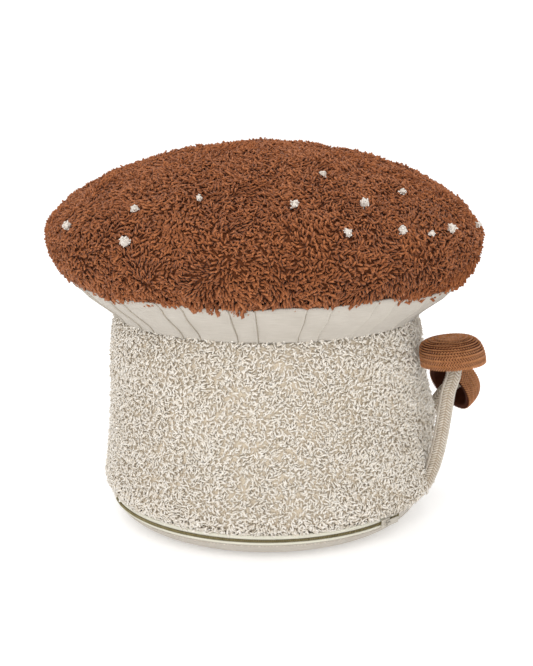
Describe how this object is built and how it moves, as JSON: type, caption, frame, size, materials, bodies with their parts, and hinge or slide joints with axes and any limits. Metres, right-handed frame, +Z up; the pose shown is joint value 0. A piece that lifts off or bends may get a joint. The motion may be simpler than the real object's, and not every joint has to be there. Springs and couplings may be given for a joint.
{
  "type": "mushroom-shaped pouf",
  "caption": "Stuffed children's pouf shaped like a mushroom: tufted brown cap with cream dots, pin-tucked canvas collar, tufted cream stem, zipped base and small braided toadstools at its side.",
  "frame": {"origin": "middle of the flat underside, on the surface the pouf stands on", "axes": "+Z up through the middle of the cap; -Y is the front, with the zip; +X is the side with the toadstools"},
  "size_m": [0.47, 0.4603, 0.4015],
  "materials": {
    "cap_pile": "looped and cut cotton pile, cinnamon brown",
    "stem_pile": "curled cotton pile, oatmeal cream",
    "dot_yarn": "off-white knotted yarn",
    "canvas": "fine cotton canvas, pale greige",
    "zip_tape": "woven zip tape",
    "zip_coil": "nylon coil, olive khaki",
    "zip_metal": "enamelled, greige",
    "brown_braid": "braided cotton cord, milk chocolate",
    "cream_cord": "braided cotton cord, cream",
    "filling": "plain cotton bag with fibre filling"
  },
  "bodies": {
    "pouf": {"cap_cover": "cap_pile", "gill_collar": "canvas", "stem_cover": "stem_pile", "base_panel": "canvas", "zip_tape_upper": "zip_tape", "zip_tape_lower": "zip_tape", "zip_coil": "zip_coil", "toadstool_front_cap": "brown_braid", "toadstool_rear_cap": "brown_braid", "toadstool_front_stem": "cream_cord", "toadstool_rear_stem": "cream_cord", "inner_cushion": "filling", "cap_dot_01": "dot_yarn", "cap_dot_02": "dot_yarn", "cap_dot_03": "dot_yarn", "cap_dot_04": "dot_yarn", "cap_dot_05": "dot_yarn", "cap_dot_06": "dot_yarn", "cap_dot_07": "dot_yarn", "cap_dot_08": "dot_yarn", "cap_dot_09": "dot_yarn", "cap_dot_10": "dot_yarn", "cap_dot_11": "dot_yarn", "cap_dot_12": "dot_yarn", "cap_dot_13": "dot_yarn", "cap_dot_14": "dot_yarn", "cap_dot_15": "dot_yarn", "cap_dot_16": "dot_yarn", "cap_dot_17": "dot_yarn", "cap_dot_18": "dot_yarn", "cap_dot_19": "dot_yarn", "cap_dot_20": "dot_yarn", "cap_dot_21": "dot_yarn", "cap_dot_22": "dot_yarn", "cap_dot_23": "dot_yarn", "cap_dot_24": "dot_yarn", "cap_dot_25": "dot_yarn"},
    "slider": {"zip_slider": "zip_metal"},
    "pull": {"zip_pull": "zip_metal"}
  },
  "joints": [
    {"name": "zip_run", "type": "hinge", "parent": "pouf", "child": "slider", "pos_m": [0, 0, 0.0251], "axis": [0, 0, 1], "range_deg": [-125, 0]},
    {"name": "pull_flip", "type": "hinge", "parent": "slider", "child": "pull", "pos_m": [0.12173, -0.12173, 0.0251], "axis": [0, 0, -1], "range_deg": [0, 170]}
  ]
}
